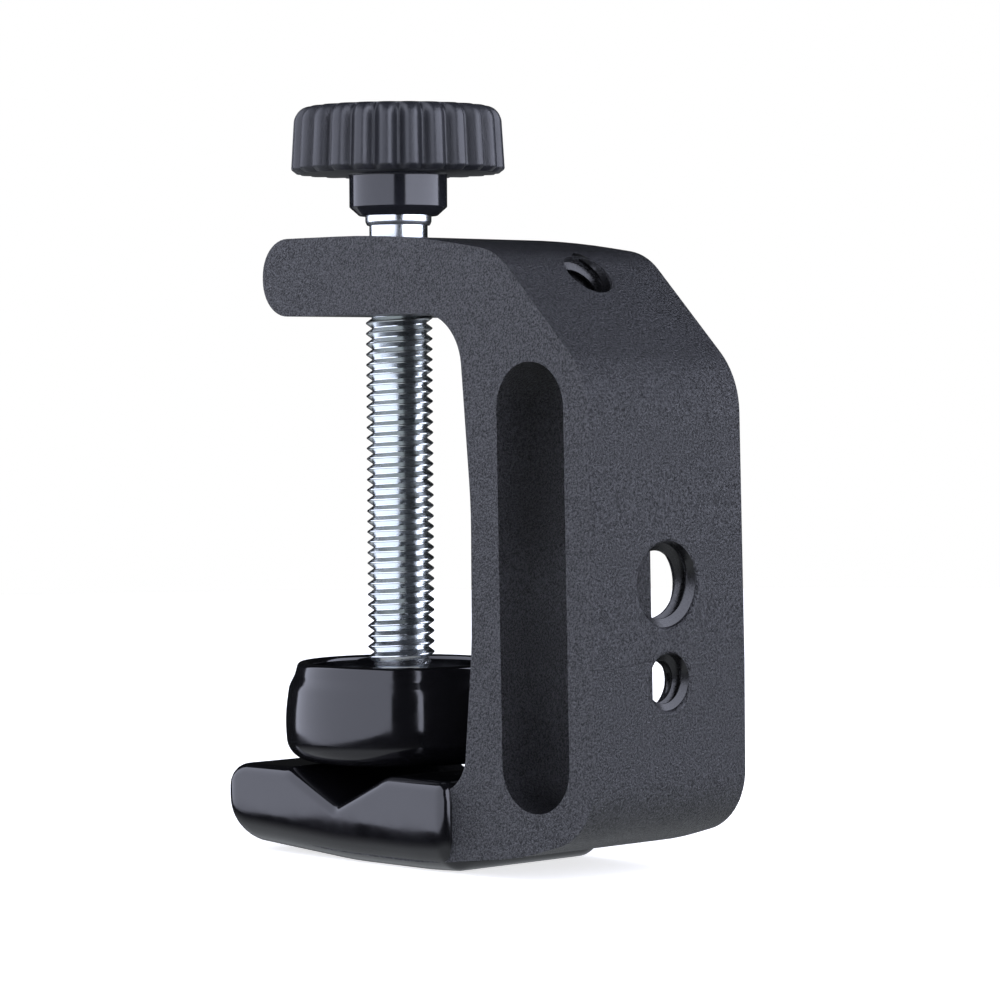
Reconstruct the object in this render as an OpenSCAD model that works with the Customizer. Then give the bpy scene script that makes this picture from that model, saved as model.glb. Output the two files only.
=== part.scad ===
// Super clamp: a cast C-frame with a spindle, a ribbed knob and a swivelling pressure pad.
// Millimetres, +Z up. The clamp stands on its lower jaw. Outlines are drawn in the XZ plane
// with x counted from the spindle's axis and z from the underside of the jaw boot.

/* [Frame casting] */
// Width of the casting across Y
frame_w = 24.6; // [22:0.1:26]
// Height of the flat top of the arm
arm_top = 73.35; // [73:0.05:74]
// Height of the flat underside of the arm
arm_under = 64.1; // [63:0.05:65]
// Distance from the spindle's axis to the back face
spine_reach = 44.4; // [43.8:0.1:46]
// Overhang of the arm's nose beyond the spindle's axis
nose_reach = 10.7; // [9:0.1:12]

/* [Accessory holes] */
// Radius of the large threaded hole, 3/8 inch nominal
large_hole_r = 4.7625; // [4.7:0.01:4.8]
// Radius of the small threaded holes, 1/4 inch nominal
small_hole_r = 3.175; // [3.1:0.01:3.3]
// Height of the large hole in the back face
large_hole_z = 33.3; // [30:0.1:36]
// Spacing of the two holes in the back face
hole_spacing = 10.9; // [10.5:0.1:12]
// Depth of the small hole in the upper bevel
bevel_hole_depth = 8.5; // [5:0.5:9]

/* [Jaw boot] */
// Wall of the moulded boot at the sides
boot_wall = 1.2; // [1:0.1:1.6]
// Reach of the boot's tip beyond the spindle's axis
boot_reach = 17; // [16.5:0.1:18]
// Height of the boot's two shoulders
boot_top = 10.6; // [10.4:0.1:10.7]
// Distance from the spindle's axis to the open end of the boot
boot_end = 21.7; // [21:0.1:22]

/* [Spindle] */
// Nominal radius of the M8 thread
thread_r = 4.0; // [3.95:0.01:4]
// Thread pitch
pitch = 1.25; // [1.25]
// Depth of the thread
thread_depth = 0.72; // [0.6:0.01:0.77]
// Radius of the unthreaded shank
shank_r = 3.5; // [3.3:0.05:3.6]
// Radius of the ball at the lower end, small enough to pass the tapped hole
ball_r = 3.3; // [3:0.05:3.3]

/* [Knob] */
// Radius over the ribs at the bottom of the grip
grip_r = 12.75; // [12:0.05:14]
// Radius over the ribs just under the rounded top edge
grip_top_r = 12.35; // [12:0.05:13]
// Height of the top face
grip_top = 89.2; // [89:0.1:90]
// Height of the grip's underside
grip_under = 81.2; // [81:0.1:82]
// Number of ribs
rib_count = 25; // [18:1:28]
// Radius of the hub below the grip
hub_r = 5.87; // [5.7:0.01:6.5]
// Height of the hub's lower end
hub_under = 76.15; // [76:0.05:77]

/* [Pressure pad] */
// Height of the pad's flat underside
pad_under = 11.15; // [11.1:0.05:11.3]
// Height of the pad boot's rim
pad_rim = 22.8; // [22:0.1:23.5]
// Largest radius of the pad boot
pad_waist_r = 13.9; // [13:0.1:14]
// Radius of the steel plate inside the boot
plate_r = 11.7; // [11:0.1:12]
// Height of the ball's centre
ball_z = 17.2; // [17:0.1:17.4]

/* [Hidden] */
$fn = 96;

casting_black = "#2c2d31";
vinyl_black = "#18191b";
zinc = "#c9ced4";
grip_black = "#232427";
nylon_white = "#e6e4dc";
plate_grey = "#8e9297";

// The origin is the middle of the outline, so the spindle stands left of it.
screw_x = (boot_reach - spine_reach) / 2;

// Clearances
thread_clear = 0.05;
ball_clear = 0.05;
ring_clear = 0.05;

// Frame outline: corners as [x, z, radius]
jaw_metal_under = 1.2;
jaw_metal_top = 9.45;
bevel_sum = 100.4;      // x + z on the 45 degree bevel
slot_front = 29.3;
slot_back = 39.9;
slot_lean = 0.75;       // the spine leans out this much over the slot's length
slot_top = 58.4;
slot_under = 8.0;
slot_r = 5.2;
bevel_hole_x = 31.9;

frame_outline = [
    [-nose_reach, arm_top, 4.4],
    [13.5, arm_top, 143],
    [29.4, bevel_sum - 29.4, 8],
    [spine_reach - 0.6, bevel_sum - spine_reach + 0.6, 10],
    [spine_reach, 24, 60],
    [spine_reach, 6.2, 7.5],
    [33, 2.9, 40],
    [17, 1.0, 60],
    [-3, 1.25, 60],
    [-boot_reach + boot_wall, 4.1, 3.2],
    [-boot_reach + boot_wall, 9.3, 2.1],
    [-5.4, 9.35, 3],
    [2.8, 5.5, 1],
    [10.8, jaw_metal_top, 3],
    [23.6, jaw_metal_top, 4.5],
    [25.1, 26.2, 60],
    [25.1, 42.2, 60],
    [23.1, arm_under, 6.5],
    [-nose_reach, arm_under, 4.4]
];
slot_outline = [
    [slot_front, slot_top, slot_r],
    [slot_back, slot_top, slot_r],
    [slot_back + slot_lean, slot_under, slot_r],
    [slot_front + slot_lean, slot_under, slot_r]
];
boot_outline = [
    [-boot_reach, boot_top - 0.05, 3.5],
    [-5.6, boot_top, 3],
    [2.8, 6.75, 1.2],
    [11, boot_top, 3],
    [30, boot_top, 1],
    [30, 1.2, 1],
    [16, 0, 60],
    [3, 0, 60],
    [-boot_reach, 3.05, 4.2]
];

// Ball joint inside the pad
liner_r = 4.7;
liner_half_h = 2.6;
seat_r = liner_r + ball_clear;
socket_floor = 3.4;     // from the ball's centre down to the plate's floor
ring_r = 6.0;
ring_low = 0.2;         // the ring's faces, counted up from the ball's centre
ring_high = 2.2;
neck_r = 2.0;
neck_top = 21.8;
plate_under = 12.9;
plate_top = 20.2;
pad_lip_r = 5.2;

// Top of the spindle inside the knob
bush_r = 4.05;
bush_low = 75.0;
bush_hex_low = 77.6;
bush_high = 81.8;
bush_hex_r = 5.0;
head_r = 4.6;
head_high = 83.2;
cap_r = 8.0;
cap_low = 87.6;

// A closed outline through the corners, each one rounded by a true arc.
function unit(v) = v / norm(v);
function turn(a, b) = a[0] * b[1] - a[1] * b[0];
function spot(c) = [c[0], c[1]];
function before(cs, i) = spot(cs[(i + len(cs) - 1) % len(cs)]);
function after(cs, i) = spot(cs[(i + 1) % len(cs)]);
function to_before(cs, i) = unit(before(cs, i) - spot(cs[i]));
function to_after(cs, i) = unit(after(cs, i) - spot(cs[i]));
function half_angle(cs, i) = acos(to_before(cs, i) * to_after(cs, i)) / 2;
function cut_back(cs, i) = cs[i][2] / tan(half_angle(cs, i));
function arc_start(cs, i) = spot(cs[i]) + to_before(cs, i) * cut_back(cs, i);
function arc_end(cs, i) = spot(cs[i]) + to_after(cs, i) * cut_back(cs, i);
function arc_centre(cs, i) = spot(cs[i])
    + unit(to_before(cs, i) + to_after(cs, i)) * cs[i][2] / sin(half_angle(cs, i));
// The outlines run clockwise, so a right turn is an outer corner.
function is_outer(cs, i) = turn(-to_before(cs, i), to_after(cs, i)) < 0;

// The disc's slice between a corner and its chord, and a little past the chord
module corner_piece(cs, i) {
    past = 0.2 * unit(arc_centre(cs, i) - spot(cs[i]));
    intersection() {
        translate(arc_centre(cs, i)) circle(r = cs[i][2]);
        polygon([arc_start(cs, i) + past, arc_start(cs, i), spot(cs[i]),
                 arc_end(cs, i), arc_end(cs, i) + past]);
    }
}

// A slab of the given width with an XZ outline, centred on Y = 0
module slab(cs, width) {
    corners = [0 : len(cs) - 1];
    rotate([90, 0, 0]) difference() {
        union() {
            linear_extrude(height = width, center = true)
                polygon([for (i = corners) each [arc_start(cs, i), arc_end(cs, i)]]);
            for (i = corners) if (is_outer(cs, i))
                linear_extrude(height = width, center = true) corner_piece(cs, i);
        }
        for (i = corners) if (!is_outer(cs, i))
            linear_extrude(height = width + 2, center = true) corner_piece(cs, i);
    }
}

module at_screw() {
    translate([screw_x, 0, 0]) children();
}

// A solid of revolution about the spindle from [radius, height] points
module turned(points) {
    rotate_extrude() polygon(points);
}

module frame_slab() {
    at_screw() slab(frame_outline, frame_w);
}

module clamp_frame() {
    past = 4;
    color(casting_black)
    difference() {
        frame_slab();
        at_screw() {
            slab(slot_outline, frame_w + past);
            // tapped hole for the spindle
            translate([0, 0, arm_under - past])
                cylinder(r = thread_r + thread_clear, h = arm_top - arm_under + 2 * past);
            // two threaded holes through the wall behind the slot
            translate([slot_back - past, 0, large_hole_z])
                rotate([0, 90, 0]) cylinder(r = large_hole_r, h = 3 * past);
            translate([slot_back - past, 0, large_hole_z - hole_spacing])
                rotate([0, 90, 0]) cylinder(r = small_hole_r, h = 3 * past);
            // blind threaded hole square to the upper bevel
            translate([bevel_hole_x, 0, bevel_sum - bevel_hole_x])
                rotate([0, 45, 0]) translate([0, 0, -bevel_hole_depth])
                    cylinder(r = small_hole_r, h = bevel_hole_depth + past);
        }
    }
}

module jaw_boot() {
    boot_w = frame_w + 2 * boot_wall;
    color(vinyl_black)
    difference() {
        at_screw() intersection() {
            slab(boot_outline, boot_w);
            translate([-boot_reach - 1, -boot_w, -1]) cube([boot_end + boot_reach + 1, 2 * boot_w, 20]);
        }
        frame_slab();
    }
}

// Ring grooves stand in for the helix: crest and root radii and pitch are the real thread's.
function thread_profile(low, high) = [
    for (z = [low : pitch : high - pitch]) each [
        [thread_r - thread_depth, z],
        [thread_r, z + pitch * 0.42],
        [thread_r, z + pitch * 0.58],
        [thread_r - thread_depth, z + pitch]
    ]
];

module spindle() {
    thread_high = neck_top + 41 * pitch;
    ball_neck_z = ball_z + sqrt(pow(ball_r, 2) - pow(neck_r, 2));
    color(zinc) at_screw() {
        turned(concat(
            [[0, ball_neck_z], [neck_r, ball_neck_z], [neck_r, neck_top]],
            thread_profile(neck_top, thread_high),
            [[shank_r, thread_high], [shank_r, bush_high], [head_r, bush_high],
             [head_r, head_high], [0, head_high]]
        ));
        translate([0, 0, ball_z]) sphere(r = ball_r);
    }
}

module bush_envelope() {
    chamfer = 0.3;
    turned([[0, bush_low], [bush_r - chamfer, bush_low], [bush_r, bush_low + 2 * chamfer],
            [bush_r, bush_hex_low], [0, bush_hex_low]]);
    translate([0, 0, bush_hex_low]) cylinder(r = bush_hex_r, h = bush_high - bush_hex_low, $fn = 6);
}

module knob_bush() {
    color(zinc) at_screw() difference() {
        bush_envelope();
        translate([0, 0, bush_low - 1]) cylinder(r = shank_r, h = bush_high - bush_low + 2);
    }
}

module grip_ribs() {
    rib_r = 1.2;
    linear_extrude(height = grip_top - grip_under) {
        circle(r = grip_r - 0.95);
        for (i = [0 : rib_count - 1])
            rotate(i * 360 / rib_count) translate([grip_r - rib_r, 0]) circle(r = rib_r);
    }
}

module grip_envelope() {
    edge = 2;
    rotate_extrude() {
        polygon([[0, grip_under], [grip_r - 1.4, grip_under], [grip_r, grip_under + 0.6],
                 [grip_top_r, grip_top - edge], [grip_top_r - edge, grip_top], [0, grip_top]]);
        intersection() {
            translate([grip_top_r - edge, grip_top - edge]) circle(r = edge);
            translate([grip_top_r - edge, grip_top - edge]) square(edge);
        }
    }
}

module knob_grip() {
    hub_chamfer_high = 77.2;
    hub_end_r = 4.7;
    color(grip_black) at_screw() difference() {
        union() {
            intersection() {
                grip_envelope();
                translate([0, 0, grip_under]) grip_ribs();
            }
            turned([[0, hub_under], [hub_end_r, hub_under], [hub_r, hub_chamfer_high],
                    [hub_r, grip_under + 1], [0, grip_under + 1]]);
        }
        bush_envelope();
        translate([0, 0, bush_high]) cylinder(r = head_r, h = cap_low - bush_high);
        translate([0, 0, cap_low]) cylinder(r = cap_r, h = grip_top - cap_low + 1);
    }
}

module knob_cap() {
    groove = 0.35;
    color(grip_black) at_screw()
    turned([[0, cap_low], [cap_r, cap_low], [cap_r, grip_top - groove - 0.15],
            [cap_r - groove, grip_top - 0.15], [0, grip_top - 0.15]]);
}

module ball_liner() {
    color(nylon_white) at_screw() translate([0, 0, ball_z]) difference() {
        intersection() {
            sphere(r = liner_r);
            cube([4 * liner_r, 4 * liner_r, 2 * liner_half_h], center = true);
        }
        sphere(r = ball_r + ball_clear);
    }
}

module retaining_ring() {
    color(zinc) at_screw() translate([0, 0, ball_z]) difference() {
        translate([0, 0, ring_low]) cylinder(r = ring_r, h = ring_high - ring_low);
        sphere(r = seat_r);
    }
}

module pad_plate() {
    chamfer = 0.6;
    ring_floor = ball_z + ring_low - ring_clear;
    ring_roof = ball_z + ring_high + ring_clear;
    color(plate_grey) at_screw() difference() {
        turned([[0, plate_under], [plate_r - chamfer, plate_under], [plate_r, plate_under + chamfer],
                [plate_r, plate_top - chamfer], [plate_r - chamfer, plate_top], [0, plate_top]]);
        // spherical seat with a flat floor
        intersection() {
            translate([0, 0, ball_z]) sphere(r = seat_r);
            translate([0, 0, ball_z - socket_floor]) cylinder(r = seat_r + 1, h = socket_floor + 1);
        }
        // groove of the retaining ring, and the lip that the plate is crimped into above it
        translate([0, 0, ring_floor]) cylinder(r = ring_r + ring_clear, h = ring_roof - ring_floor);
        translate([0, 0, ring_roof - 1]) cylinder(r = pad_lip_r, h = plate_top - ring_roof + 2);
    }
}

module pad_boot() {
    rim_r = 12.4;
    rim_wall = 1.3;
    foot_r = 11.4;
    corner_r = 2.3;
    waist_z = pad_under + 4.6;
    color(vinyl_black) at_screw() difference() {
        rotate_extrude() {
            polygon([[0, pad_under], [foot_r, pad_under], [foot_r + corner_r, pad_under + corner_r],
                     [pad_waist_r, waist_z], [pad_waist_r - 0.35, waist_z + 3],
                     [rim_r, pad_rim - 0.4], [rim_r - 0.4, pad_rim],
                     [0, pad_rim]]);
            intersection() {
                translate([foot_r, pad_under + corner_r]) circle(r = corner_r);
                translate([foot_r, pad_under]) square(corner_r);
            }
        }
        // pocket of the plate, closed over its edge by the rim's inner lip
        turned([[0, plate_under], [plate_r - 0.6, plate_under], [plate_r, plate_under + 0.6],
                [plate_r, plate_top - 0.6], [plate_r - 0.6, plate_top], [rim_r - rim_wall, plate_top],
                [rim_r - rim_wall, pad_rim + 1], [0, pad_rim + 1]]);
    }
}

clamp_frame();
jaw_boot();
spindle();
knob_bush();
knob_grip();
knob_cap();
ball_liner();
retaining_ring();
pad_plate();
pad_boot();
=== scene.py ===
# %% [markdown]
# # A small super clamp
# The real object is a cast C-shaped frame with a soft boot on its lower jaw, a zinc-plated
# spindle with a ribbed knob, and a swivelling pressure pad in a soft boot of its own. The CAD
# model gives every size and every joint. This file builds the parts that the eye meets, with
# rounded edges, real threads and real finishes, and hangs each one on the CAD body it moves with.

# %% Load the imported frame
import math

import bmesh
import bpy
from mathutils import Matrix, Vector


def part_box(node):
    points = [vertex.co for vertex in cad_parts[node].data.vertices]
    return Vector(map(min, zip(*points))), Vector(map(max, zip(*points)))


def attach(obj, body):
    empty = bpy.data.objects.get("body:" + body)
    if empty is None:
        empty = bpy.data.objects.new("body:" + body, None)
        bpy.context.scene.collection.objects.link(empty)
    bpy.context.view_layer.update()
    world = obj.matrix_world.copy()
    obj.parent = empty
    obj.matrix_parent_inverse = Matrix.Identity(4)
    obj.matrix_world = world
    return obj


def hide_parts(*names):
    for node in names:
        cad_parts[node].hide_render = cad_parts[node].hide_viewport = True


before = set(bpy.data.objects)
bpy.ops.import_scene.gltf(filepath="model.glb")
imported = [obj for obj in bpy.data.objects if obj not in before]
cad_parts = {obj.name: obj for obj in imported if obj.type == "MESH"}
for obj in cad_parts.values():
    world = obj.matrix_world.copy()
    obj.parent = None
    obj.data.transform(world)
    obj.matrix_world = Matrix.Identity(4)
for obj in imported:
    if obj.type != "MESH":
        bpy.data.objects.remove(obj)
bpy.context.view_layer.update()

# %% [markdown]
# ## Measures
# Each piece is drawn in millimetres, with the spindle's axis as its Z axis and the underside of
# the lower jaw at Z = 0, because that is how a maker's drawing of a clamp is dimensioned. One
# function takes a finished mesh from there to metres in the shared frame.

# %% From the drawing to the shared frame
MM = 0.001
spindle_low, spindle_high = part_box("spindle")
AXIS_X = (spindle_low.x + spindle_high.x) / 2


def to_shared_frame(bm):
    bmesh.ops.scale(bm, vec=(MM, MM, MM), verts=bm.verts)
    bmesh.ops.translate(bm, vec=(AXIS_X, 0, 0), verts=bm.verts)


print("spindle axis at x =", round(AXIS_X / MM, 2), "mm")

# %% [markdown]
# ## The camera
# A product picture is taken from far off with a long lens, so that the upright edges stay
# parallel. The camera stands level at the height of the clamp's throat, and the lens is shifted
# down a little instead of tilted, which keeps the uprights upright.

# %% Camera
LENS_MM, SENSOR_MM = 141.336, 36.0
LENS_SHIFT = -0.1184
CAMERA_BEHIND_AXIS, CAMERA_BESIDE_AXIS, CAMERA_HEIGHT = 346.6, 319.1, 56.2
VIEW_ANGLE, LEAN_ANGLE = 45.9, 0.4
camera_place = Vector((AXIS_X + CAMERA_BEHIND_AXIS * MM, -CAMERA_BESIDE_AXIS * MM,
                       CAMERA_HEIGHT * MM))
view_angle = math.radians(VIEW_ANGLE)
looking = Vector((-math.sin(view_angle), math.cos(view_angle), 0))
rightwards = Vector((math.cos(view_angle), math.sin(view_angle), 0))
upwards = Vector((0, 0, 1))
lean = math.radians(LEAN_ANGLE)

camera_data = bpy.data.cameras.new("camera")
camera = bpy.data.objects.new("camera", camera_data)
bpy.context.scene.collection.objects.link(camera)
bpy.context.scene.camera = camera
camera_data.sensor_width = SENSOR_MM
camera_data.lens = LENS_MM
camera_data.shift_y = LENS_SHIFT
leaning_right = rightwards * math.cos(lean) - upwards * math.sin(lean)
leaning_up = upwards * math.cos(lean) + rightwards * math.sin(lean)
camera.matrix_world = Matrix((
    (leaning_right.x, leaning_up.x, -looking.x, camera_place.x),
    (leaning_right.y, leaning_up.y, -looking.y, camera_place.y),
    (leaning_right.z, leaning_up.z, -looking.z, camera_place.z),
    (0, 0, 0, 1),
))
print("lens", round(camera_data.lens, 1), "mm")

# %% [markdown]
# ## Colours and nodes
# Colours are written as the hex values that a paint chart or a screen shows, and Blender's
# shaders want them linear, so one function converts them. A second one adds a node together
# with its settings and links, so that each finish reads as a short recipe.

# %% Helpers for the finishes


def linear(hex_colour):
    channels = [int(hex_colour[i:i + 2], 16) / 255 for i in (1, 3, 5)]
    return [c / 12.92 if c <= 0.04045 else ((c + 0.055) / 1.055) ** 2.4 for c in channels] + [1.0]


def add(tree, kind, inputs=None, **settings):
    node = tree.nodes.new(kind)
    for setting, value in settings.items():
        setattr(node, setting, value)
    for socket, value in (inputs or {}).items():
        if isinstance(value, bpy.types.NodeSocket):
            tree.links.new(value, node.inputs[socket])
        else:
            node.inputs[socket].default_value = value
    return node


def start_finish(name, **plain):
    """A material with its plain shader values set on the shader's own sockets."""
    material = bpy.data.materials.new(name)
    material.use_nodes = True
    tree = material.node_tree
    shader = tree.nodes["Principled BSDF"]
    for socket, value in plain.items():
        shader.inputs[socket.replace("_", " ").title().replace("Ior", "IOR")].default_value = value
    place = add(tree, "ShaderNodeTexCoord").outputs["Object"]
    print("finish", name)
    return material, tree, shader, place


def per_metre(size_mm):
    """Texture scale for a pattern whose features are this many millimetres across."""
    return 1 / (size_mm * MM)


def noise_of(tree, place, size_mm, detail=2.0, roughness=0.5):
    texture = add(tree, "ShaderNodeTexNoise", {
        "Vector": place, "Scale": per_metre(size_mm), "Detail": detail, "Roughness": roughness})
    return texture.outputs["Fac"]


def between(tree, factor, low, high, start=0.3, end=0.7):
    """Takes a noise value from its usual spread to the range low to high."""
    ranged = add(tree, "ShaderNodeMapRange", {
        "Value": factor, "From Min": start, "From Max": end, "To Min": low, "To Max": high})
    return ranged.outputs["Result"]


def two_colours(tree, factor, first, second):
    mixed = add(tree, "ShaderNodeMix", {0: factor, 6: linear(first), 7: linear(second)},
                data_type="RGBA")
    return mixed.outputs[2]


def bump(tree, height, depth_mm, strength=1.0, under=None):
    inputs = {"Height": height, "Distance": depth_mm * MM, "Strength": strength}
    if under is not None:
        inputs["Normal"] = under
    return add(tree, "ShaderNodeBump", inputs).outputs["Normal"]


# %% [markdown]
# ## Powder-coated cast aluminium
# The frame is a pressure casting under black polyester powder coat of the fine-texture kind.
# The powder melts into low round grains about a quarter of a millimetre across, and the grain
# scatters the studio's light into a soft grey, sparkling sheen. Grains are drawn with noise bump,
# and their tops also mirror more than the pits between them. A slower noise shifts the gloss from
# place to place, as coat thickness does on a real casting. In the tapped holes the coat is thin
# and the cut metal below keeps it smooth. The threads there are also coloured near black, darker
# than the casting: that is painted shade for the inside of the holes.

# %% Powder coat
powder_coat, tree, shader, place = start_finish("powder coated casting", ior=1.5)
grain = noise_of(tree, place, 0.24, detail=3.0, roughness=0.7)
coat_thickness = noise_of(tree, place, 7.0, detail=2.0)
grain_light = between(tree, grain, 0.0, 1.0, 0.40, 0.66)
tree.links.new(two_colours(tree, grain_light, "#050506", "#1c1d20"), shader.inputs["Base Color"])
tree.links.new(between(tree, coat_thickness, 0.33, 0.41), shader.inputs["Roughness"])
slow = bump(tree, noise_of(tree, place, 2.2), 0.02)
tree.links.new(between(tree, grain, 0.25, 0.9, 0.38, 0.62), shader.inputs["Specular IOR Level"])
tree.links.new(bump(tree, grain, 0.26, under=slow), shader.inputs["Normal"])

# %% Coat in the tapped holes
thread_coat_painted_dark, tree, shader, place = start_finish("thread coat painted dark for hole shade", ior=1.5)
cut_marks = noise_of(tree, place, 0.25, detail=3.0)
# The near black thread colour is painted shade for the inside of the holes; only the cut-mark
# variation in it is the coat's own.
tree.links.new(two_colours(tree, cut_marks, "#030303", "#0a0a0b"), shader.inputs["Base Color"])
tree.links.new(between(tree, cut_marks, 0.24, 0.36), shader.inputs["Roughness"])
tree.links.new(bump(tree, cut_marks, 0.01), shader.inputs["Normal"])

# %% [markdown]
# ## Dip-moulded vinyl
# Both boots are soft PVC, shaped by dipping a hot former in liquid plastisol. It sets with a wet
# gloss, a near black body and faint slow waves where it sagged as it cooled. So the recipe is a
# smooth dielectric, long shallow waves, and a touch of roughness where it has been handled.

# %% Vinyl
dipped_vinyl, tree, shader, place = start_finish("dip moulded vinyl", ior=1.52)
sag = noise_of(tree, place, 9.0, detail=1.0)
skin = noise_of(tree, place, 1.3, detail=2.0)
handled = noise_of(tree, place, 4.0, detail=4.0, roughness=0.65)
tree.links.new(two_colours(tree, handled, "#060607", "#0d0d0f"), shader.inputs["Base Color"])
tree.links.new(between(tree, handled, 0.07, 0.16, 0.35, 0.75), shader.inputs["Roughness"])
waves = bump(tree, sag, 0.10)
tree.links.new(bump(tree, skin, 0.0025, under=waves), shader.inputs["Normal"])

# %% [markdown]
# ## Bright zinc plate
# The spindle, its collar and the small steel parts are mild steel under bright zinc with a blue
# passivate. Zinc is a metal, so it has no diffuse colour, only a slightly blue mirror that fine
# tool marks blur. The marks run round the part: noise stretched across the axis draws them. Real
# ones are a few hundredths of a millimetre apart; these are 0.12 mm, so that they still show.

# %% Zinc
zinc_plate, tree, shader, place = start_finish("bright zinc plate", metallic=1.0)
squeezed = add(tree, "ShaderNodeMapping", {"Vector": place, "Scale": (0.06, 0.06, 1.0)})
tool_marks = noise_of(tree, squeezed.outputs["Vector"], 0.12, detail=3.0)
clouding = noise_of(tree, place, 2.5, detail=3.0)
tree.links.new(two_colours(tree, clouding, "#cbd1d2", "#e2e6e7"), shader.inputs["Base Color"])
tree.links.new(between(tree, clouding, 0.16, 0.27), shader.inputs["Roughness"])
tree.links.new(bump(tree, tool_marks, 0.004), shader.inputs["Normal"])

# %% [markdown]
# ## Moulded ABS of the knob
# The knob is one ABS moulding with two textures from its mould: the grip is spark-eroded, which
# prints a fine matt grain, and the hub was polished, so it mirrors the studio lights. The change
# of texture falls at the grip's underside, so the height of the point picks between the two.

# %% Knob plastic
GRIP_UNDER = 81.2
knob_abs, tree, shader, place = start_finish("moulded ABS", ior=1.52)
spark_grain = noise_of(tree, place, 0.22, detail=2.0, roughness=0.6)
height = add(tree, "ShaderNodeSeparateXYZ", {"Vector": place}).outputs["Z"]
on_grip = between(tree, height, 0.0, 1.0, (GRIP_UNDER - 0.4) * MM, (GRIP_UNDER + 0.1) * MM)
scuff = noise_of(tree, place, 3.0, detail=3.0)
matt = between(tree, scuff, 0.37, 0.47)
polished = between(tree, scuff, 0.09, 0.15)
gloss = add(tree, "ShaderNodeMix", {0: on_grip, 2: polished, 3: matt}, data_type="FLOAT")
tree.links.new(gloss.outputs[0], shader.inputs["Roughness"])
tree.links.new(two_colours(tree, spark_grain, "#121316", "#1e1f23"), shader.inputs["Base Color"])
grain_depth = add(tree, "ShaderNodeMath", {0: spark_grain, 1: on_grip}, operation="MULTIPLY")
tree.links.new(bump(tree, grain_depth.outputs[0], 0.035), shader.inputs["Normal"])

# %% [markdown]
# ## Cap plastic, nylon and pressed steel
# The cap in the knob's top comes from the same mould tool maker with a finer, satin texture. The
# liner round the ball is natural nylon, milky and waxy, which light enters a little. The plate is
# pressed steel with thin zinc, duller than the spindle, with the smeared look of a press tool.

# %% Cap plastic
cap_abs, tree, shader, place = start_finish("satin ABS cap", ior=1.52)
satin = noise_of(tree, place, 0.15, detail=2.0)
tree.links.new(two_colours(tree, satin, "#15161a", "#1d1e22"), shader.inputs["Base Color"])
tree.links.new(between(tree, noise_of(tree, place, 2.0), 0.30, 0.42), shader.inputs["Roughness"])
tree.links.new(bump(tree, satin, 0.008), shader.inputs["Normal"])

# %% Nylon
natural_nylon, tree, shader, place = start_finish("natural nylon", ior=1.53)
shader.inputs["Subsurface Weight"].default_value = 0.3
shader.inputs["Subsurface Radius"].default_value = (0.9 * MM, 0.8 * MM, 0.6 * MM)
waxy = noise_of(tree, place, 1.0, detail=3.0)
tree.links.new(two_colours(tree, waxy, "#d9d6cb", "#e8e5da"), shader.inputs["Base Color"])
tree.links.new(between(tree, waxy, 0.35, 0.5), shader.inputs["Roughness"])
tree.links.new(bump(tree, waxy, 0.01), shader.inputs["Normal"])

# %% Pressed steel
pressed_steel, tree, shader, place = start_finish("pressed zinc plated steel", metallic=1.0)
smear = add(tree, "ShaderNodeMapping", {"Vector": place, "Scale": (1.0, 0.15, 1.0)})
smeared = noise_of(tree, smear.outputs["Vector"], 0.3, detail=3.0)
tree.links.new(two_colours(tree, smeared, "#83878c", "#a3a8ad"), shader.inputs["Base Color"])
tree.links.new(between(tree, smeared, 0.3, 0.48), shader.inputs["Roughness"])
tree.links.new(bump(tree, smeared, 0.006), shader.inputs["Normal"])

# %% [markdown]
# ## Shaping tools
# Almost every part here is either an outline pushed out to a width or a half profile turned about
# an axis. In both, corners are rounded by bevelling single points of the wire, which leaves a
# true arc. The distance to cut back from a corner comes from the wanted radius and the angle.

# %% Rounded wires


def rounded_wire(points, closed=False, degrees_per_step=7.0, filled=False):
    """A wire in the XZ plane through (x, z, radius) points, as a new bmesh."""
    bm = bmesh.new()
    corners = [bm.verts.new((x, 0, z)) for x, z, _ in points]
    if filled:
        bm.faces.new(corners)
    else:
        pairs = list(zip(corners, corners[1:])) + ([(corners[-1], corners[0])] if closed else [])
        for pair in pairs:
            bm.edges.new(pair)
    for i, (x, z, radius) in enumerate(points):
        if not radius:
            continue
        here = Vector((x, z))
        back = (Vector(points[i - 1][:2]) - here).normalized()
        ahead = (Vector(points[(i + 1) % len(points)][:2]) - here).normalized()
        opening = back.angle(ahead)
        turned = math.degrees(math.pi - opening)
        bmesh.ops.bevel(
            bm, geom=[corners[i]], offset=radius / math.tan(opening / 2), offset_type="OFFSET",
            segments=max(2, round(turned / degrees_per_step)), profile=0.5, affect="VERTICES",
            material=-1, clamp_overlap=False)
    return bm


def spun(points, steps=128, closed=False, degrees_per_step=7.0):
    """A half profile of (radius, height, corner radius) points turned once about Z."""
    bm = rounded_wire(points, closed, degrees_per_step)
    bmesh.ops.spin(bm, geom=bm.verts[:] + bm.edges[:], cent=(0, 0, 0), axis=(0, 0, 1),
                   angle=math.tau, steps=steps, use_merge=True)
    bmesh.ops.remove_doubles(bm, verts=bm.verts, dist=1e-4)
    bmesh.ops.recalc_face_normals(bm, faces=bm.faces)
    return bm


def sharp_edges(bm, degrees):
    return [e for e in bm.edges
            if len(e.link_faces) == 2 and e.calc_face_angle() > math.radians(degrees)]


def soften(bm, edges, width, segments=3):
    bmesh.ops.bevel(bm, geom=edges, offset=width, offset_type="OFFSET", segments=segments,
                    profile=0.5, affect="EDGES", material=-1, clamp_overlap=True,
                    loop_slide=True)


# %% Finishing a piece


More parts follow.
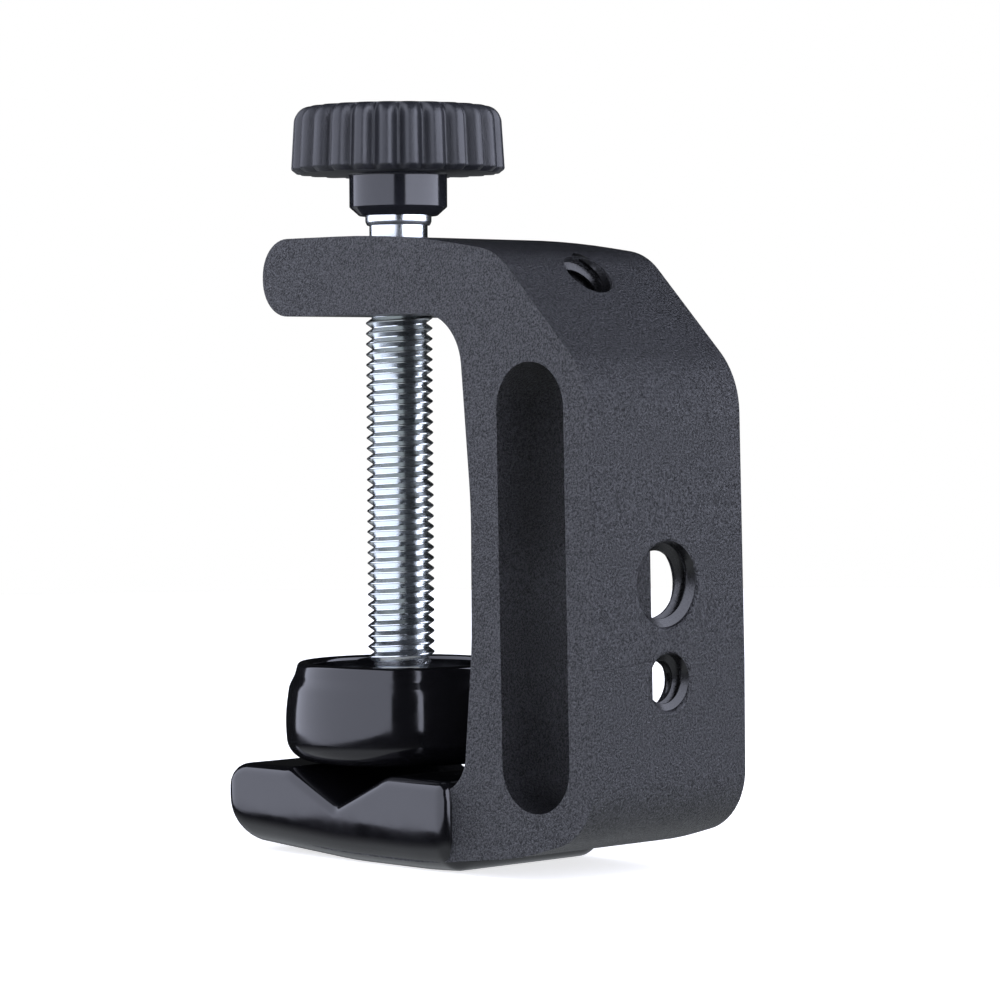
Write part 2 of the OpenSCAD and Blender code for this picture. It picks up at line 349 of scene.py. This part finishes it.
def finish_piece(bm, name, material, body, stands_for=None, crease=38.0):
    """Writes a bmesh drawn in millimetres to an object that rides on a CAD body."""
    to_shared_frame(bm)
    mesh = bpy.data.meshes.new(name)
    bm.to_mesh(mesh)
    bm.free()
    mesh.polygons.foreach_set("use_smooth", [True] * len(mesh.polygons))
    mesh.set_sharp_from_angle(angle=math.radians(crease))
    mesh.materials.append(material)
    piece = bpy.data.objects.new(name, mesh)
    bpy.context.scene.collection.objects.link(piece)
    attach(piece, body)
    if stands_for:
        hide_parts(stands_for)
    size = [round((max(v.co[i] for v in mesh.vertices)
                   - min(v.co[i] for v in mesh.vertices)) / MM, 2) for i in range(3)]
    print(name, "has", len(mesh.polygons), "faces and measures", size, "mm")
    return piece


# %% [markdown]
# ## The frame casting
# The CAD solid already has the casting's outline, its window and its holes, but every edge in it
# is knife sharp. A casting has none: the mould needs them rounded, and powder coat pulls back from
# what is left. So a copy of the CAD mesh is merged, its flat triangles are dissolved into whole
# faces, and the sharp edges are bevelled: wider round the hole mouths, where a countersink was cut.

# %% Sizes of the casting's roundings
LARGE_HOLE_Z, SMALL_HOLE_Z = 33.3, 22.4
LARGE_R, SMALL_R = 4.7625, 3.175
BACK_X = 44.2
EDGE_ROUNDING, MOUTH_ROUNDING = 0.5, 0.65
SHARP_FROM = 35             # degrees between two faces from which an edge is rounded
NEAR_BACK, NEAR_MOUTH = 0.9, 0.8


def round_a_mouth(edge):
    """Whether an edge belongs to the mouth of a hole in the back face."""
    holes = ((LARGE_R, LARGE_HOLE_Z), (SMALL_R, SMALL_HOLE_Z))
    return all(v.co.x > BACK_X - NEAR_BACK and any(
        math.hypot(v.co.y, v.co.z - z) < r + NEAR_MOUTH for r, z in holes) for v in edge.verts)


# %% Round the casting
MERGE_WITHIN_M, FLAT_WITHIN = 1e-6, 0.4
casting = bmesh.new()
casting.from_mesh(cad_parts["clamp_frame"].data)
bmesh.ops.remove_doubles(casting, verts=casting.verts, dist=MERGE_WITHIN_M)
bmesh.ops.translate(casting, vec=(-AXIS_X, 0, 0), verts=casting.verts)
bmesh.ops.scale(casting, vec=(1 / MM, 1 / MM, 1 / MM), verts=casting.verts)
bmesh.ops.dissolve_limit(casting, angle_limit=math.radians(FLAT_WITHIN), verts=casting.verts,
                         edges=casting.edges)
mouths = [e for e in sharp_edges(casting, SHARP_FROM) if round_a_mouth(e)]
soften(casting, mouths, MOUTH_ROUNDING, 4)
others = [e for e in sharp_edges(casting, SHARP_FROM) if not round_a_mouth(e)]
soften(casting, others, EDGE_ROUNDING, 3)
print("casting has", len(casting.faces), "faces after rounding")
frame_casting = finish_piece(
    casting, "frame_casting", powder_coat, "frame", "clamp_frame")
steady = frame_casting.modifiers.new("steady shading", "WEIGHTED_NORMAL")
steady.keep_sharp = True

# %% [markdown]
# ## Threads
# A thread is a small profile carried round an axis while it climbs one pitch a turn. Blender's
# spin does this when it is given a step along the axis. The profile is a closed face, so the ridge
# is a closed solid, and it is sunk a little into the core or the wall that carries it. At both
# ends the ridge is drawn back into its core over a short run, as a die or a tap leaves it.

# %% A helical ridge
STEPS_PER_TURN = 48


def thread_ridge(root_r, crest_r, pitch, turns, sunk=0.12, run_out=0.3):
    """A right-hand ridge about Z from height 0 up. crest_r below root_r makes an inner thread."""
    outward = 1 if crest_r > root_r else -1
    foot, crest = 0.47 * pitch, 0.07 * pitch
    base_r = root_r - outward * sunk
    bm = bmesh.new()
    profile = [(base_r, -foot), (root_r, -foot), (crest_r - outward * 0.03, -crest),
               (crest_r, 0), (crest_r - outward * 0.03, crest), (root_r, foot), (base_r, foot)]
    face = bm.faces.new([bm.verts.new((r, 0, z)) for r, z in profile])
    steps = round(turns * STEPS_PER_TURN)
    bmesh.ops.spin(bm, geom=[face] + face.verts[:] + face.edges[:], cent=(0, 0, 0), axis=(0, 0, 1),
                   dvec=(0, 0, pitch * turns / steps), angle=math.tau * turns, steps=steps)
    length = pitch * turns
    for vert in bm.verts:
        spread = math.hypot(vert.co.x, vert.co.y)
        depth = outward * (spread - base_r)
        if depth < 1e-4:
            continue
        angle = math.atan2(vert.co.y, vert.co.x) % math.tau
        turn = round((vert.co.z / pitch) - angle / math.tau) + angle / math.tau
        along = turn * pitch
        kept = min(1.0, max(0.0, min(along, length - along) / (run_out * pitch)))
        wanted = base_r + outward * depth * kept
        vert.co.x *= wanted / spread
        vert.co.y *= wanted / spread
    bmesh.ops.remove_doubles(bm, verts=bm.verts, dist=1e-5)
    bmesh.ops.recalc_face_normals(bm, faces=bm.faces)
    return bm


# %% [markdown]
# ## Threads in the accessory holes
# Lighting gear is hung from two standard threads, 3/8 inch with 16 turns to the inch and 1/4 inch
# with 20. Each ridge is made upright and then turned to lie along its hole.

# %% Threads of the three holes
INCH = 25.4


def hole_thread(name, hole_r, threads_per_inch, mouth, inward, depth):
    pitch = INCH / threads_per_inch
    lead_in = 0.45 * pitch
    bm = thread_ridge(hole_r + 0.05, hole_r - 0.6 * pitch, pitch, (depth - 1.6 * lead_in) / pitch)
    turn_over = Vector((0, 0, 1)).rotation_difference(Vector(inward).normalized())
    bmesh.ops.translate(bm, vec=(0, 0, lead_in), verts=bm.verts)
    bmesh.ops.transform(bm, matrix=Matrix.Translation(mouth) @ turn_over.to_matrix().to_4x4(),
                        verts=bm.verts)
    finish_piece(bm, name, thread_coat_painted_dark, "frame", crease=30)


WALL, BEVEL_HOLE_DEPTH = 3.95, 8.4
BEVEL_MOUTH = (31.9, 0, 68.5)
SMALL_MOUTH = (BACK_X + 0.2, 0, SMALL_HOLE_Z)       # the back face leans out by 0.2 mm there
hole_thread("thread_3_8", LARGE_R, 16, (BACK_X, 0, LARGE_HOLE_Z), (-1, 0, 0), WALL)
hole_thread("thread_1_4_back", SMALL_R, 20, SMALL_MOUTH, (-1, 0, 0), WALL)
hole_thread("thread_1_4_bevel", SMALL_R, 20, BEVEL_MOUTH, (-1, 0, -1), BEVEL_HOLE_DEPTH)

# %% [markdown]
# ## The jaw boot
# The boot is a sock of soft vinyl pulled over the lower jaw. Plastisol runs down and gathers as it
# cures, so the boot is much rounder below than above, and its sides are a little crowned. A ring
# is pushed out step by step from the closed tip to the open end, and each ring is then shaped to
# the boot's cross-section there: a rounded box as high as the outline is at that place. The skin
# gets its thickness inwards, so that a real wall meets the frame.

# %% Jaw boot outline and cross-section
BOOT_TIP, BOOT_END, BOOT_WALL, BOOT_HALF_WIDTH = -17.3, 21.7, 1.15, 13.5
ROUND_BELOW, ROUND_ABOVE, PLAN_ROUND, LIP_ROUND = 3.4, 1.5, 2.2, 1.5
CROWN = 0.5
RING_POINTS = 96
FLAT_SHARE = 20.0           # degrees of the ring, out of 90, that lie on each flat
CROWN_HEIGHT, CROWN_REACH = 7.0, 6.0
outline = rounded_wire([
    (BOOT_TIP, 10.55, 3.5), (-5.6, 10.6, 3.0), (2.8, 6.75, 1.2), (11.0, 10.6, 3.0),
    (BOOT_END, 10.6, 0), (BOOT_END, 0.24, 0), (16.0, 0, 30.0), (3.0, 0, 60.0),
    (BOOT_TIP, 1.3, 4.6)], closed=True, degrees_per_step=3.0)
outline_edges = [(e.verts[0].co.copy(), e.verts[1].co.copy()) for e in outline.edges]
outline.free()


def heights_at(x):
    """The underside's and the top's height where the outline crosses this x."""
    x = min(x, BOOT_END - 0.001)
    found = [a.z + (b.z - a.z) * (x - a.x) / (b.x - a.x)
             for a, b in outline_edges if min(a.x, b.x) <= x <= max(a.x, b.x) and a.x != b.x]
    return min(found), max(found)


def round_drop(radius, distance):
    """How far a rounded corner falls back at this distance from the face it starts at."""
    return radius - math.sqrt(max(0.0, radius ** 2 - max(0.0, radius - distance) ** 2))


def section_point(x, angle):
    """Where the point at this angle of the ring lies on the boot's cross-section."""
    low, high = heights_at(x)
    lip = round_drop(LIP_ROUND, BOOT_END - x)
    low, high = low + lip, high - lip
    wide = BOOT_HALF_WIDTH - lip - round_drop(PLAN_ROUND, x - BOOT_TIP)
    room = min(1.0, (high - low) / (ROUND_BELOW + ROUND_ABOVE + 0.1))
    above, below = ROUND_ABOVE * room, ROUND_BELOW * room
    upper = math.sin(angle) >= 0
    radius, centre = (above, high - above) if upper else (below, low + below)
    middle = (high - above + low + below) / 2
    turned = math.degrees(math.atan2(abs(math.sin(angle)), abs(math.cos(angle))))
    if turned <= FLAT_SHARE:
        y, z = wide, middle + (centre - middle) * turned / FLAT_SHARE
    elif turned >= 90 - FLAT_SHARE:
        y, z = (wide - radius) * (90 - turned) / FLAT_SHARE, high if upper else low
    else:
        arc = math.radians((turned - FLAT_SHARE) * 90 / (90 - 2 * FLAT_SHARE))
        rise = radius * math.sin(arc)
        y, z = wide - radius + radius * math.cos(arc), centre + rise if upper else centre - rise
    y *= 1 - CROWN * ((z - CROWN_HEIGHT) / CROWN_REACH) ** 2 / BOOT_HALF_WIDTH
    return Vector((x, math.copysign(y, math.cos(angle)), z))


# %% Jaw boot skin
RING_SPACING, FIRST_STEP = 0.3, 0.03
LIP_SHARES = (0.9, 0.72, 0.55, 0.4, 0.26, 0.14, 0.05, 0.0)
stations = [BOOT_TIP + FIRST_STEP * step ** 2 for step in range(1, 12)]
while stations[-1] < BOOT_END - LIP_ROUND - RING_SPACING:
    stations.append(stations[-1] + RING_SPACING)
stations += [BOOT_END - LIP_ROUND * share for share in LIP_SHARES]
boot = bmesh.new()
bmesh.ops.create_circle(boot, segments=RING_POINTS, radius=1.0,
                        matrix=Matrix.Translation((stations[0], 0, 0))
                        @ Matrix.Rotation(math.radians(90), 4, "Y"))
leading = boot.edges[:]
for here, ahead in zip(stations, stations[1:]):
    pushed = bmesh.ops.extrude_edge_only(boot, edges=leading)["geom"]
    leading = [g for g in pushed if isinstance(g, bmesh.types.BMEdge) and g.is_boundary]
    ring = [g for g in pushed if isinstance(g, bmesh.types.BMVert)]
    bmesh.ops.translate(boot, vec=(ahead - here, 0, 0), verts=ring)
for vert in boot.verts:
    vert.co = section_point(vert.co.x, math.atan2(vert.co.z, vert.co.y))
tip_edges = [e for e in boot.edges if e.is_boundary and e.verts[0].co.x < BOOT_TIP + 1]
bmesh.ops.holes_fill(boot, edges=tip_edges, sides=0)
bmesh.ops.recalc_face_normals(boot, faces=boot.faces)
print("boot skin has", len(boot.faces), "faces with its end open")
jaw_boot = finish_piece(boot, "jaw_boot_skin", dipped_vinyl, "frame", "jaw_boot")
wall = jaw_boot.modifiers.new("wall", "SOLIDIFY")
wall.thickness = BOOT_WALL * MM
wall.offset = -1

# %% [markdown]
# ## The spindle
# The spindle is an M8 bar: a ball and neck inside the pad, fifty millimetres of rolled thread and
# a plain shank in the knob. The core is one turned profile, and the ridge is wound over it.

# %% Spindle
PITCH = 1.25
THREAD_R, ROOT_R, SHANK_R = 4.0, 3.28, 3.5
BALL_R, BALL_Z, NECK_R = 3.3, 17.2, 2.0
THREAD_LOW, THREAD_HIGH = 21.8, 73.05
ball_points = [(BALL_R * math.cos(math.radians(a)), BALL_Z + BALL_R * math.sin(math.radians(a)), 0)
               for a in range(-90, 53, 6)]
ball_points[0] = (0, BALL_Z - BALL_R, 0)
core = spun(ball_points + [
    (NECK_R, BALL_Z + 2.7, 0.3), (NECK_R, THREAD_LOW, 0.2), (ROOT_R, THREAD_LOW + 0.4, 0.3),
    (ROOT_R, THREAD_HIGH - 0.2, 0), (SHANK_R, THREAD_HIGH, 0.1), (SHANK_R, 81.8, 0),
    (4.6, 81.8, 0.15), (4.6, 83.2, 0.3), (0, 83.2, 0)], steps=96)
ridge = thread_ridge(ROOT_R, THREAD_R, PITCH, (THREAD_HIGH - THREAD_LOW - 1.4) / PITCH)
bmesh.ops.translate(ridge, vec=(0, 0, THREAD_LOW + 0.7), verts=ridge.verts)
ridge_mesh = bpy.data.meshes.new("ridge")
ridge.to_mesh(ridge_mesh)
ridge.free()
core.from_mesh(ridge_mesh)
bpy.data.meshes.remove(ridge_mesh)
finish_piece(core, "spindle_screw", zinc_plate, "spindle", "spindle", crease=30)

# %% [markdown]
# ## The knob's collar
# A hexagonal bush is moulded into the knob so that it can't turn. Below the hub a short round
# collar of it shows, with a small chamfer at its lower edge.

# %% Collar
collar = spun([(SHANK_R + 0.02, 75.0, 0), (3.76, 75.0, 0.08), (3.97, 75.4, 0.6),
               (4.0, 77.6, 0.2), (SHANK_R + 0.02, 77.6, 0)], steps=96, closed=True)
finish_piece(collar, "knob_collar", zinc_plate, "spindle", "knob_bush", crease=30)

# %% [markdown]
# ## The ribbed knob
# The grip is turned as a plain profile first, with many more points round it than ribs. Then each
# point near the rim is pulled in by a wave of twenty-five crests. The wave fades towards the
# rounded top, so the ribs run out there as they do on the moulding. The valleys are narrower than
# the crests, which leaves the broad round-nosed bars that fingers grip.

# %% Knob
GRIP_TOP = 89.2
RIBS = 25
RIB_DEPTH, RIB_SHARPNESS = 1.15, 1.8
RIB_START, RIB_FADE = 10.2, 1.3
VALLEY_ANGLE = math.radians(-42.3)
knob = spun([
    (0, 87.6, 0), (8.0, 87.6, 0), (8.0, GRIP_TOP, 0.25), (12.4, GRIP_TOP, 1.9), (12.85, 81.75, 0.35),
    (12.15, 81.2, 0.25), (11.35, 81.2, 0.1), (5.87, GRIP_UNDER, 0.35), (5.87, 77.2, 0.2),
    (4.7, 76.15, 0.2), (4.06, 76.15, 0), (4.06, 78.2, 0), (0, 78.2, 0)], steps=RIBS * 20,
    degrees_per_step=9.0)
for vert in knob.verts:
    spread = math.hypot(vert.co.x, vert.co.y)
    if spread < RIB_START or vert.co.z < GRIP_UNDER - 0.01:
        continue
    wave = 0.5 + 0.5 * math.cos(RIBS * (math.atan2(vert.co.y, vert.co.x) - VALLEY_ANGLE))
    near_rim = min(1.0, (spread - RIB_START) / RIB_FADE)
    pull = RIB_DEPTH * wave ** RIB_SHARPNESS * near_rim
    vert.co.x *= (spread - pull) / spread
    vert.co.y *= (spread - pull) / spread
finish_piece(knob, "knob_moulding", knob_abs, "spindle", "knob_grip")

# %% [markdown]
# ## The knob's cap
# A pressed-in disc closes the hole over the spindle's head. It sits a hair below the grip's face
# with a fine groove round it.

# %% Cap
cap = spun([(0, 87.65, 0), (7.9, 87.65, 0), (7.92, 88.75, 0), (7.6, 89.05, 0.15), (6.9, 89.05, 0.1),
            (6.7, 88.9, 0.1), (0, 88.9, 0)], steps=96)
finish_piece(cap, "knob_top_cap", cap_abs, "spindle", "knob_cap")

# %% [markdown]
# ## The pressure pad
# A steel plate turns on the spindle's ball, and a vinyl cup is pulled over the plate. The cup
# bulges where it wraps the plate and draws in to a soft rolled rim above it.

# %% Pad boot
pad = spun([
    (0, 11.15, 0), (13.6, 11.15, 2.7), (14.0, 16.2, 16.0), (13.5, 19.95, 2.6), (12.8, 21.3, 2.5),
    (12.4, 22.8, 0.55), (11.1, 22.8, 0.55), (11.1, 20.6, 0.3), (11.72, 20.25, 0.1),
    (11.72, 12.85, 0.3), (0, 12.85, 0)], steps=160, degrees_per_step=3.0)
finish_piece(pad, "pad_boot_cup", dipped_vinyl, "pad", "pad_boot")

# %% The plate, the liner and the ring keep their CAD shapes
for node, material in (("pad_plate", pressed_steel), ("ball_liner", natural_nylon),
                       ("retaining_ring", zinc_plate)):
    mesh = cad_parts[node].data
    mesh.materials.clear()
    mesh.materials.append(material)
    print(node, "wears", material.name)

# %% [markdown]
# ## The studio
# The clamp stands on a pale floor between two big softboxes, left and right of the camera. Black
# plastic and plated steel show little of their own colour: what the eye reads is the softboxes in
# them, with a dark gap between the two where the camera stands.

# %% Floor
FLOOR_RADIUS = 0.6
floor_mesh = bpy.data.meshes.new("floor")
floor_bm = bmesh.new()
bmesh.ops.create_circle(floor_bm, cap_ends=True, segments=96, radius=FLOOR_RADIUS)
floor_bm.to_mesh(floor_mesh)
floor_bm.free()
floor = bpy.data.objects.new("floor", floor_mesh)
bpy.context.scene.collection.objects.link(floor)
floor_paper, tree, shader, place = start_finish(
    "lit floor sheet", roughness=0.9, emission_color=linear("#ffffff"), emission_strength=0.7)
tree.links.new(two_colours(tree, noise_of(tree, place, 3.0), "#eeeeee", "#f1f1f1"),
               shader.inputs["Base Color"])
floor_mesh.materials.append(floor_paper)
floor.visible_glossy = False
floor.visible_shadow = False

# %% Softboxes
CLAMP_MIDDLE_HEIGHT = 45
clamp_middle = Vector((0, 0, CLAMP_MIDDLE_HEIGHT * MM))


def softbox(name, turn, distance, width, low, high, watts):
    """An upright area light, by its angle right of the camera and its edges' heights."""
    turn = math.radians(turn)
    towards = -looking * math.cos(turn) + rightwards * math.sin(turn)
    data = bpy.data.lights.new(name, "AREA")
    data.shape = "RECTANGLE"
    data.size, data.size_y = width, high - low
    data.energy = watts
    data.color = linear("#e6eaff")[:3]
    light = bpy.data.objects.new(name, data)
    light.location = clamp_middle + towards * distance + upwards * (low + high) / 2
    light.rotation_mode = "QUATERNION"
    light.rotation_quaternion = towards.to_track_quat("Z", "Y")
    light.visible_camera = False
    bpy.context.scene.collection.objects.link(light)
    print(name, "gives", watts, "W")


softbox("left softbox", -69, 0.55, 1.9, -0.155, 1.15, 20.5)
softbox("right softbox", 64, 0.60, 1.25, -0.12, 0.84, 17.0)

# %% World
# Reflections see a floor that glows from below and an almost black room above it. The camera
# itself sees plain white behind the clamp.
FLOOR_FULL, FLOOR_END = -0.55, -0.25        # sines of the angles below the horizon
FLOOR_GLOW, ROOM_GLOW = 0.8, 0.015
world = bpy.data.worlds.new("studio")
world.use_nodes = True
bpy.context.scene.world = world
tree = world.node_tree
direction = add(tree, "ShaderNodeTexCoord").outputs["Generated"]
height = add(tree, "ShaderNodeSeparateXYZ", {"Vector": direction}).outputs["Z"]
upward = add(tree, "ShaderNodeMapRange", {
    "Value": height, "From Min": FLOOR_FULL, "From Max": FLOOR_END,
    "To Min": FLOOR_GLOW, "To Max": ROOM_GLOW})
room = tree.nodes["Background"]
room.inputs["Color"].default_value = linear("#dfe4ea")
tree.links.new(upward.outputs[0], room.inputs["Strength"])
paper = add(tree, "ShaderNodeBackground", {"Color": linear("#ffffff"), "Strength": 1.0})
seen = add(tree, "ShaderNodeLightPath").outputs["Is Camera Ray"]
shown = add(tree, "ShaderNodeMixShader", {0: seen, 1: room.outputs[0], 2: paper.outputs[0]})
tree.links.new(shown.outputs[0], tree.nodes["World Output"].inputs["Surface"])
bpy.context.scene.view_settings.view_transform = "Standard"
